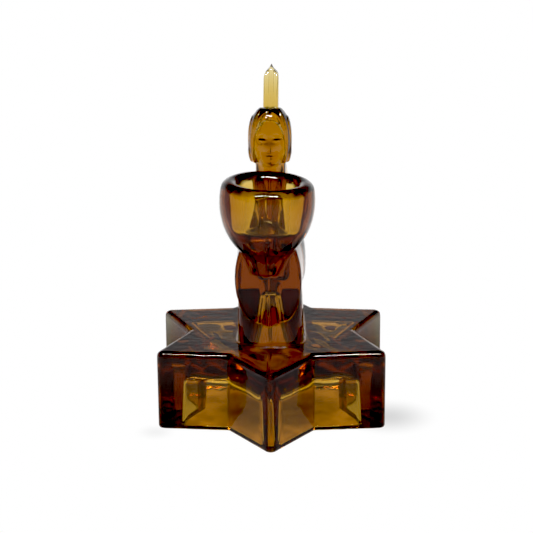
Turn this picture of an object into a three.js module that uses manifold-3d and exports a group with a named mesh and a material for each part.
// Pressed glass candlestick: a small robed angel kneels on a hollow six-pointed star and holds a
// round-bottomed candle cup in front of it. +Z up, the figure faces -Y. The origin is the centre of
// the star's underside, in the plane that the star stands on.
// The real object is one casting. Each mesh below is one named region of it, and neighbouring
// regions keep a hairline gap.
import * as THREE from "three";
import { mergeVertices } from "three/addons/utils/BufferGeometryUtils.js";
import Module from "manifold-3d";

const wasm = await Module();
wasm.setup();

// The lengths below draw the casting 126 mm high. Every length of the finished part is SIZE times
// as much, in millimetres, which gives the cup the bore of a 22 mm taper candle.
const SIZE = 1.18;

// Star base
const STAR_POINTS = 6;
const STAR_TIP_RADIUS = 48.4; // to the sharp corner, before the point is rounded
const STAR_NOTCH_RADIUS = 30.8;
const STAR_HEIGHT = 29.2;
const STAR_WALL = 6.2;
const STAR_EDGE = 1.2; // rounding of the top and bottom edges
const STAR_TIP_ROUND = 2.8; // how far the rounding of a point runs along each side
const HOLLOW_DEPTH = 19.2;
const CORE_TOP = 50; // tapered blind core that rises from the hollow into the robe
const CORE_TOP_HALF_WIDTH = 3.4;
const CORE_SIDE_TAPER = 0.115;
const CORE_TOP_FRONT = 13; // its front wall leans forward with the lap
const CORE_FRONT_LEAN = 0.3;
const CORE_TOP_BACK = 12;
const CORE_BACK_TAPER = 0.2;

// Figure
const FIGURE_TURN = THREE.MathUtils.degToRad(-2.2); // the figure stands slightly turned on the star
const GAP = 0.3;
const ROBE_HALF_WIDTH = 11.8;
const ROBE_FRONT = 20.6;
const ROBE_BACK = 27;
const ROBE_TOP = 61.5;
const ROBE_BACK_TAPER = 0.05; // the flanks come together this much towards the back
const SEAT_BACK = 16; // the back of the hips, upright above the sloping lower legs
const SEAT_HEIGHT = 45.8;
const LAP_HALF_WIDTH = 11.8; // oval front of the lap
const LAP_HALF_HEIGHT = 20;
const LAP_MIDDLE = 56;
const LAP_TOP = 71;
const LAP_FOOT = 37.3; // the pointed hem, from where the front leans outwards to the knees
const LAP_FOOT_FRONT = 21.3;
const KNEE_HEIGHT = 57;
const KNEE_FRONT = 27.4;
const LAP_TOP_FRONT = 24.6;
const HEM_RISE = 0.42;
const TORSO_HALF_WIDTH = 9;
const TORSO_FRONT = 5.6;
const TORSO_BACK = 5.5;
const SHOULDER_HEIGHT = 87;
const NECK_RADIUS = 4.7;
const HEAD_MIDDLE = new THREE.Vector3(0, -4.6, 102.4);
const HEAD_SIZE = new THREE.Vector3(6.5, 5.6, 10.4); // half width, half depth, half height
const HAIR_SIZE = new THREE.Vector3(7.6, 6.4, 11.4);
const HAIR_SQUARENESS = 2.7; // 2 would be an ellipsoid, and more is nearer to a box
const WING_HALF = 2.7; // half the thickness of the pair above the head
const WING_ROOT_HALF = 6.1; // and beside the torso
const WING_BACK_TAPER = 0.28; // from here the outer faces come together towards the back edge
const WING_TAPER_START = 10;
const WING_TOP = 126.2;
const WING_SHOULDER = 123.4; // the top falls from the middle plane to here on each side
const WING_TIP_FRONT = -6;
const WING_TIP_BACK = -9.2;
const WING_ROOT_FRONT = 3.8;
const WING_FRONT_DROP = 14; // height over which the front edge comes forward from the tip
const WING_BACK = -23.5;
const ARM_RADIUS = 2.2;

// Candle cup
const CUP_FORWARD = 24;
const CUP_SIDE = -0.75;
const CUP_LEAN = THREE.MathUtils.degToRad(2); // the cup leans slightly towards +X
const CUP_RIM_HEIGHT = 92.2;
const CUP_BOTTOM = 65;
const CUP_RADIUS = 16.65;
const CUP_FLOOR = 75.5;
const SOCKET_RADIUS = 9.8;
const SOCKET_FLOOR_RADIUS = 7.6;
const SOCKET_MOUTH = 3.2; // how far the rounded mouth flares out and reaches down
const FOOT_BOTTOM = 58.6;
const FOOT_TOP_RADIUS = 7.7;
const FOOT_BOTTOM_RADIUS = 4.6;

const amberGlass = new THREE.MeshStandardMaterial({
  color: 0xb5731c,
  roughness: 0.05,
  metalness: 0,
  transparent: true,
  opacity: 0.6,
});

// Manifold solid of a closed three.js geometry
function solid(geometry) {
  const bare = geometry.clone();
  bare.deleteAttribute("normal");
  bare.deleteAttribute("uv");
  const merged = mergeVertices(bare, 1e-3);
  return new wasm.Manifold(
    new wasm.Mesh({
      numProp: 3,
      vertProperties: new Float32Array(merged.attributes.position.array),
      triVerts: new Uint32Array(merged.index.array),
    }),
  );
}

// three.js geometry of a Manifold solid
function geometryOf(body) {
  const mesh = body.getMesh();
  const geometry = new THREE.BufferGeometry();
  geometry.setAttribute("position", new THREE.BufferAttribute(mesh.vertProperties, 3));
  geometry.setIndex(new THREE.BufferAttribute(mesh.triVerts, 1));
  const faceted = geometry.toNonIndexed();
  faceted.computeVertexNormals();
  return faceted;
}

function region(name, body) {
  const mesh = new THREE.Mesh(geometryOf(body), amberGlass);
  mesh.name = name;
  return mesh;
}

// Prism of a front-to-back outline given as [forward, height] points, centred on the middle
// plane, with its outer edges rounded by `round`
function profileSlab(shape, width, round, steps = 3) {
  const geometry = new THREE.ExtrudeGeometry(shape, {
    depth: width - 2 * round,
    bevelEnabled: round > 0,
    bevelThickness: round,
    bevelSize: round,
    bevelOffset: -round,
    bevelSegments: steps,
    curveSegments: 8,
  });
  geometry.translate(0, 0, round - width / 2);
  const forward = new THREE.Vector3(0, -1, 0);
  const up = new THREE.Vector3(0, 0, 1);
  const side = new THREE.Vector3(-1, 0, 0);
  return geometry.applyMatrix4(new THREE.Matrix4().makeBasis(forward, up, side));
}

function ellipsoid(middle, size, grow = 0) {
  const geometry = new THREE.SphereGeometry(1, 28, 18);
  geometry.scale(size.x + grow, size.z + grow, size.y + grow);
  geometry.rotateX(Math.PI / 2);
  return geometry.translate(middle.x, middle.y, middle.z);
}

// Outline of the bobbed head of hair, `grow` larger all round: between an ellipsoid and a box
function hairForm(grow = 0) {
  const geometry = new THREE.SphereGeometry(1, 28, 18).rotateX(Math.PI / 2);
  const points = geometry.attributes.position;
  const power = (value) => Math.abs(value) ** HAIR_SQUARENESS;
  for (let k = 0; k < points.count; k++) {
    const point = new THREE.Vector3().fromBufferAttribute(points, k);
    const reach = (power(point.x) + power(point.y) + power(point.z)) ** (1 / HAIR_SQUARENESS);
    point.divideScalar(reach);
    points.setXYZ(k, point.x, point.y, point.z);
  }
  geometry.scale(HAIR_SIZE.x + grow, HAIR_SIZE.y + grow, HAIR_SIZE.z + grow);
  return geometry.translate(HEAD_MIDDLE.x, HEAD_MIDDLE.y, HEAD_MIDDLE.z);
}

// Turned solid about a vertical axis, from [radius, height] points
function turned(points, segments = 40) {
  const profile = points.map(([r, z]) => new THREE.Vector2(r, z));
  return new THREE.LatheGeometry(profile, segments).rotateX(Math.PI / 2);
}

// --- Star base -----------------------------------------------------------------------------

const halfTurn = Math.PI / STAR_POINTS;

// Angle between a point's middle line and its side
const tipAngle = Math.atan2(
  STAR_NOTCH_RADIUS * Math.sin(halfTurn),
  STAR_TIP_RADIUS - STAR_NOTCH_RADIUS * Math.cos(halfTurn),
);

// Star outline moved `inset` inwards, with its points rounded
function starShape(inset, round) {
  const tip = STAR_TIP_RADIUS - inset / Math.sin(tipAngle);
  const notch = STAR_NOTCH_RADIUS - inset / Math.sin(Math.PI - halfTurn - tipAngle);
  const corner = (k) => {
    const angle = -Math.PI / 2 + k * halfTurn;
    const radius = k % 2 === 0 ? tip : notch;
    return new THREE.Vector2(radius * Math.cos(angle), radius * Math.sin(angle));
  };
  const shape = new THREE.Shape();
  for (let k = 0; k < 2 * STAR_POINTS; k++) {
    const here = corner(k);
    const before = here.clone().sub(corner(k - 1)).normalize().multiplyScalar(round);
    const after = corner(k + 1).sub(here).normalize().multiplyScalar(round);
    const start = here.clone().sub(before);
    const end = here.clone().add(after);
    if (k === 0) shape.moveTo(start.x, start.y);
    else shape.lineTo(start.x, start.y);
    shape.quadraticCurveTo(here.x, here.y, end.x, end.y);
  }
  shape.closePath();
  return shape;
}

function starPrism(inset, round, height, edge) {
  const geometry = new THREE.ExtrudeGeometry(starShape(inset, round), {
    depth: height - 2 * edge,
    bevelThickness: edge,
    bevelSize: edge,
    bevelOffset: -edge,
    bevelSegments: 3,
    curveSegments: 5,
  });
  return geometry.translate(0, 0, edge);
}

// Prism of a front outline given as [side, height] points, as deep as the whole figure
function frontSlab(points) {
  const shape = new THREE.Shape(points.map(([side, height]) => new THREE.Vector2(side, height)));
  const geometry = new THREE.ExtrudeGeometry(shape, { depth: 120, bevelEnabled: false });
  return geometry.rotateX(Math.PI / 2).translate(0, 60, 0);
}

function core() {
  const bottom = 10; // well inside the hollow
  const drop = CORE_TOP - bottom;
  const half = CORE_TOP_HALF_WIDTH;
  const halfBelow = half + CORE_SIDE_TAPER * drop;
  const side = new THREE.Shape();
  side.moveTo(-CORE_TOP_BACK - CORE_BACK_TAPER * drop, bottom);
  side.lineTo(CORE_TOP_FRONT - CORE_FRONT_LEAN * drop, bottom);
  side.lineTo(CORE_TOP_FRONT - 0.8, CORE_TOP - 2.5);
  side.quadraticCurveTo(CORE_TOP_FRONT, CORE_TOP, CORE_TOP_FRONT - 2.5, CORE_TOP);
  side.lineTo(2.5 - CORE_TOP_BACK, CORE_TOP);
  side.quadraticCurveTo(-CORE_TOP_BACK, CORE_TOP, -CORE_TOP_BACK - 0.5, CORE_TOP - 2.5);
  const front = frontSlab([
    [-halfBelow, bottom],
    [halfBelow, bottom],
    [half, CORE_TOP - 1.5],
    [half - 1.5, CORE_TOP + 0.1],
    [1.5 - half, CORE_TOP + 0.1],
    [-half, CORE_TOP - 1.5],
  ]);
  return solid(profileSlab(side, 2 * halfBelow + 2, 0)).intersect(solid(front));
}

function starBase() {
  const hollow = starPrism(STAR_WALL, STAR_TIP_ROUND, HOLLOW_DEPTH + 5, STAR_EDGE).translate(0, 0, -5);
  return solid(starPrism(0, STAR_TIP_ROUND, STAR_HEIGHT, STAR_EDGE))
    .subtract(solid(hollow))
    .subtract(core());
}

// --- Robe and lap --------------------------------------------------------------------------

// Plan of the robe: flat flanks and a shallow round front and back
function robePrism() {
  const half = ROBE_HALF_WIDTH;
  const shoulder = 5; // how far the rounded front and back reach along the flanks
  const hips = 6; // the flanks start to come together this far in front of the middle
  const halfBack = half - ROBE_BACK_TAPER * (hips + ROBE_BACK - shoulder);
  const plan = new THREE.Shape();
  plan.moveTo(-half, -ROBE_FRONT + shoulder);
  plan.bezierCurveTo(-half, -ROBE_FRONT + 1, -half / 2, -ROBE_FRONT, 0, -ROBE_FRONT);
  plan.bezierCurveTo(half / 2, -ROBE_FRONT, half, -ROBE_FRONT + 1, half, -ROBE_FRONT + shoulder);
  plan.lineTo(half, -hips);
  plan.lineTo(halfBack, ROBE_BACK - shoulder);
  plan.bezierCurveTo(halfBack, ROBE_BACK - 1, half / 2, ROBE_BACK, 0, ROBE_BACK);
  plan.bezierCurveTo(-half / 2, ROBE_BACK, -halfBack, ROBE_BACK - 1, -halfBack, ROBE_BACK - shoulder);
  plan.lineTo(-half, -hips);
  const geometry = new THREE.ExtrudeGeometry(plan, {
    depth: ROBE_TOP - STAR_HEIGHT - GAP,
    bevelEnabled: false,
    curveSegments: 7,
  });
  return geometry.translate(0, 0, STAR_HEIGHT + GAP);
}

// Side view of the kneeling body: front, hips, upright seat, sloping lower legs
function robeOutline() {
  const bottom = STAR_HEIGHT + GAP;
  const legs = ROBE_BACK - SEAT_BACK + 1;
  const shape = new THREE.Shape();
  shape.moveTo(ROBE_FRONT + 1, bottom);
  shape.lineTo(ROBE_FRONT + 1, 34);
  shape.lineTo(13.5, ROBE_TOP - 3);
  shape.quadraticCurveTo(12.6, ROBE_TOP, 9.6, ROBE_TOP);
  shape.lineTo(-SEAT_BACK + 2, ROBE_TOP);
  shape.quadraticCurveTo(-SEAT_BACK, ROBE_TOP, -SEAT_BACK, ROBE_TOP - 2);
  shape.lineTo(-SEAT_BACK, SEAT_HEIGHT);
  shape.lineTo(-SEAT_BACK - legs, SEAT_HEIGHT - legs);
  shape.lineTo(-SEAT_BACK - legs, bottom);
  return shape;
}

// Lap and knees, `grow` larger all round: a side view cut to an oval with a pointed hem
function lapBody(grow) {
  const side = new THREE.Shape();
  side.moveTo(19.5 - grow, LAP_FOOT - grow);
  side.lineTo(LAP_FOOT_FRONT + grow, LAP_FOOT - grow);
  side.lineTo(KNEE_FRONT - 1 + grow, KNEE_HEIGHT - 5);
  side.quadraticCurveTo(KNEE_FRONT + 0.7 + grow, KNEE_HEIGHT + 1, LAP_TOP_FRONT + grow, LAP_TOP + grow);
  side.lineTo(TORSO_FRONT + 1.9 - grow, LAP_TOP + grow);
  side.lineTo(TORSO_FRONT + 1.9 - grow, ROBE_TOP + GAP - grow);
  side.lineTo(14.6 - grow, ROBE_TOP + GAP - grow);
  const oval = new THREE.CylinderGeometry(1, 1, 100, 48);
  oval.scale(LAP_HALF_WIDTH + grow, 1, LAP_HALF_HEIGHT + grow);
  oval.translate(0, 0, LAP_MIDDLE);
  const hem = frontSlab([
    [0, LAP_FOOT - grow],
    [15, LAP_FOOT + 15 * HEM_RISE - grow],
    [15, LAP_TOP + 5],
    [-15, LAP_TOP + 5],
    [-15, LAP_FOOT + 15 * HEM_RISE - grow],
  ]);
  return solid(profileSlab(side, 2 * LAP_HALF_WIDTH + 2, 0))
    .intersect(solid(oval))
    .intersect(solid(hem));
}

function robe() {
  return solid(robePrism())
    .intersect(solid(profileSlab(robeOutline(), 2 * ROBE_HALF_WIDTH + 2, 0)))
    .subtract(lapBody(GAP))
    .subtract(core());
}

function lap() {
  return lapBody(0)
    .subtract(cupSpace())
    .subtract(footSpace());
}

// --- Upper body ----------------------------------------------------------------------------

function torso() {
  const side = new THREE.Shape();
  side.moveTo(TORSO_FRONT + 1.5, ROBE_TOP + GAP);
  side.lineTo(TORSO_FRONT + 1.5, 66);
  side.quadraticCurveTo(TORSO_FRONT, 72, TORSO_FRONT - 0.5, SHOULDER_HEIGHT);
  side.lineTo(-TORSO_BACK + 1.5, SHOULDER_HEIGHT);
  side.quadraticCurveTo(-TORSO_BACK - 2, 82, -TORSO_BACK, ROBE_TOP + GAP);
  return solid(profileSlab(side, 2 * TORSO_HALF_WIDTH, 2.4)).subtract(cupSpace());
}

// Round bar of the given radius along a path of points, flat at both ends
function bar(points, radius, steps) {
  const section = new THREE.Shape();
  section.absarc(0, 0, radius, 0, 2 * Math.PI);
  const extrudePath = new THREE.CatmullRomCurve3(points);
  return new THREE.ExtrudeGeometry(section, { steps, extrudePath, curveSegments: 12 });
}

const neckPath = () => [
  new THREE.Vector3(0, 0.8, SHOULDER_HEIGHT - 4),
  new THREE.Vector3(0, -0.4, SHOULDER_HEIGHT + 1.5),
  new THREE.Vector3(0, -2.5, SHOULDER_HEIGHT + 7),
];

function neck() {
  const belowShoulders = new THREE.BoxGeometry(30, 30, 20);
  belowShoulders.translate(0, 0, SHOULDER_HEIGHT + GAP - 10);
  return solid(bar(neckPath(), NECK_RADIUS, 6))
    .subtract(solid(belowShoulders))
    .subtract(solid(hairForm(GAP)))
    .subtract(cupSpace());
}

function head() {
  return solid(ellipsoid(HEAD_MIDDLE, HEAD_SIZE));
}

// Bobbed hair: a shell over the crown, sides and back of the head
function hair() {
  const face = new THREE.CylinderGeometry(1, 1, 14, 36);
  face.scale(5.7, 1, 10.3);
  face.translate(0, HEAD_MIDDLE.y - 7, HEAD_MIDDLE.z - 2.2);
  const below = new THREE.BoxGeometry(30, 30, 10);
  below.translate(0, HEAD_MIDDLE.y, HEAD_MIDDLE.z - 13);
  return solid(hairForm())
    .subtract(solid(ellipsoid(HEAD_MIDDLE, HEAD_SIZE, GAP)))
    .subtract(solid(face))
    .subtract(solid(below));
}

// How far forward the front edge of the wings stands at a height
function wingLead(height) {
  const reach = WING_ROOT_FRONT - WING_TIP_FRONT;
  return WING_ROOT_FRONT - reach * Math.exp((height - WING_TOP + 0.9) / WING_FRONT_DROP);
}

// Side view of the raised wings: a blade over the crown of the head, wider down the back
function wingOutline() {
  const shape = new THREE.Shape();
  const front = TORSO_BACK + GAP + 0.1;
  shape.moveTo(-front, ROBE_TOP + GAP);
  shape.quadraticCurveTo(-front - 2, 82, -front + 1.5, SHOULDER_HEIGHT);
  const steps = 8;
  for (let step = 0; step <= steps; step++) {
    const height = 100 + (step / steps) * (WING_TOP - 100);
    shape.lineTo(wingLead(height), height);
  }
  shape.lineTo(WING_TIP_BACK, WING_TOP);
  shape.lineTo(WING_TIP_BACK, WING_TOP - 14);
  shape.quadraticCurveTo(WING_TIP_BACK - 0.5, 98, WING_BACK, 80);
  shape.lineTo(WING_BACK, 66);
  shape.lineTo(-SEAT_BACK - 3.4, SEAT_HEIGHT + 3);
  shape.lineTo(-SEAT_BACK - GAP, SEAT_HEIGHT + 3);
  shape.lineTo(-SEAT_BACK - GAP, ROBE_TOP + GAP);
  return shape;
}

// Right half of the wings' back view: a thin blade that thickens behind the head and the torso
const wingBackView = [
  [0, WING_TOP],
  [0, 40],
  [WING_ROOT_HALF, 40],
  [WING_ROOT_HALF, 82],
  [4.9, 89],
  [4.8, 101],
  [3.9, 106],
  [WING_HALF, 112],
  [WING_HALF, WING_SHOULDER],
];

// Plan of one wing: the outer face slants in towards the back edge
function wingPlan(side) {
  const back = 26;
  const backHalf = WING_ROOT_HALF - WING_BACK_TAPER * (back - WING_TAPER_START);
  const plan = new THREE.Shape();
  plan.moveTo(0, -10);
  plan.lineTo(side * WING_ROOT_HALF, -10);
  plan.lineTo(side * WING_ROOT_HALF, WING_TAPER_START);
  plan.lineTo(side * backHalf, back);
  plan.lineTo(0, back);
  return new THREE.ExtrudeGeometry(plan, { depth: 140, bevelEnabled: false });
}

function wing(side) {
  const width = WING_ROOT_HALF - GAP / 2;
  const plate = profileSlab(wingOutline(), width, 0.6, 2);
  plate.translate(side * (GAP / 2 + width / 2), 0, 0);
  const half = wingBackView.map(([x, z]) => [side * x, z]);
  return solid(plate)
    .intersect(solid(frontSlab(side > 0 ? half : half.reverse())))
    .intersect(solid(wingPlan(side)))
    .subtract(solid(hairForm(GAP)))
    .subtract(solid(bar(neckPath(), NECK_RADIUS + GAP, 6)));
}

// Forearm from the elbow at the torso's side to the underside of the cup
function arm(side) {
  const path = [
    new THREE.Vector3(side * 9.8, 1, 77.5),
    new THREE.Vector3(side * 10, -1.5, 74.6),
    new THREE.Vector3(side * 9.2, -8, 73.4),
    new THREE.Vector3(side * 8.2, -14, 73.4),
  ];
  const beside = new THREE.BoxGeometry(2 * (TORSO_HALF_WIDTH + GAP), 16, 60);
  beside.translate(0, 8 - TORSO_FRONT - 1.5 - GAP, 80);
  return solid(bar(path, ARM_RADIUS, 10))
    .subtract(solid(beside))
    .subtract(cupSpace())
    .subtract(lapBody(GAP));
}

// --- Candle cup ----------------------------------------------------------------------------

// Outside of the cup: round bottom, nearly upright wall, rolled rim
function cupOutside(grow = 0) {
  const lip = 2.4;
  const points = [[0, CUP_BOTTOM - grow]];
  const belly = CUP_RIM_HEIGHT - 7;
  for (let step = 1; step <= 9; step++) {
    const turn = (step / 9) * (Math.PI / 2);
    const radius = CUP_RADIUS * Math.sin(turn) ** 0.9;
    const height = belly - (belly - CUP_BOTTOM) * Math.cos(turn);
    points.push([radius + grow, height - grow * Math.cos(turn)]);
  }
  for (let step = 1; step <= 3; step++) {
    const turn = (step / 3) * (Math.PI / 2);
    const radius = CUP_RADIUS - lip * (1 - Math.cos(turn));
    const height = CUP_RIM_HEIGHT - lip * (1 - Math.sin(turn));
    points.push([radius + grow, height + grow]);
  }
  return points;
}

function placeCup(geometry) {
  const lean = new THREE.Matrix4().makeRotationY(CUP_LEAN);
  const base = new THREE.Matrix4().makeTranslation(0, 0, -CUP_BOTTOM);
  const place = new THREE.Matrix4().makeTranslation(CUP_SIDE, -CUP_FORWARD, CUP_BOTTOM);
  return geometry.applyMatrix4(place.multiply(lean).multiply(base));
}

function cupSpace() {
  const points = cupOutside(GAP);
  points.push([0, CUP_RIM_HEIGHT + GAP]);
  return solid(placeCup(turned(points)));
}

function candleCup() {
  const points = cupOutside();
  for (let step = 1; step <= 3; step++) {
    const turn = (step / 3) * (Math.PI / 2);
    const radius = SOCKET_RADIUS + SOCKET_MOUTH * (1 - Math.sin(turn));
    points.push([radius, CUP_RIM_HEIGHT - SOCKET_MOUTH * (1 - Math.cos(turn))]);
  }
  points.push([SOCKET_FLOOR_RADIUS, CUP_FLOOR + 0.8]);
  points.push([SOCKET_FLOOR_RADIUS - 0.8, CUP_FLOOR]);
  points.push([0, CUP_FLOOR]);
  return solid(placeCup(turned(points)));
}

function footTaper(grow) {
  return turned([
    [0, FOOT_BOTTOM - grow],
    [FOOT_BOTTOM_RADIUS - 0.6 + grow, FOOT_BOTTOM - grow],
    [FOOT_BOTTOM_RADIUS + grow, FOOT_BOTTOM + 0.6],
    [FOOT_TOP_RADIUS + grow, 66],
    [FOOT_TOP_RADIUS + grow, 70],
    [0, 70],
  ], 32);
}

function footSpace() {
  return solid(placeCup(footTaper(GAP)));
}

function cupFoot() {
  return solid(placeCup(footTaper(0))).subtract(cupSpace());
}

// --- Assembly ------------------------------------------------------------------------------

const figure = new THREE.Group();
figure.rotation.z = FIGURE_TURN;
figure.add(region("robe", robe()));
figure.add(region("lap", lap()));
figure.add(region("torso", torso()));
figure.add(region("neck", neck()));
figure.add(region("head", head()));
figure.add(region("hair", hair()));
for (const [name, side] of [["right", -1], ["left", 1]]) {
  figure.add(region(name + "_wing", wing(side)));
  figure.add(region(name + "_arm", arm(side)));
}
figure.add(region("cup_foot", cupFoot()));
figure.add(region("candle_cup", candleCup()));

const candlestick = new THREE.Group();
candlestick.add(region("star_base", starBase()));
candlestick.add(figure);
candlestick.scale.setScalar(SIZE);

export default candlestick;
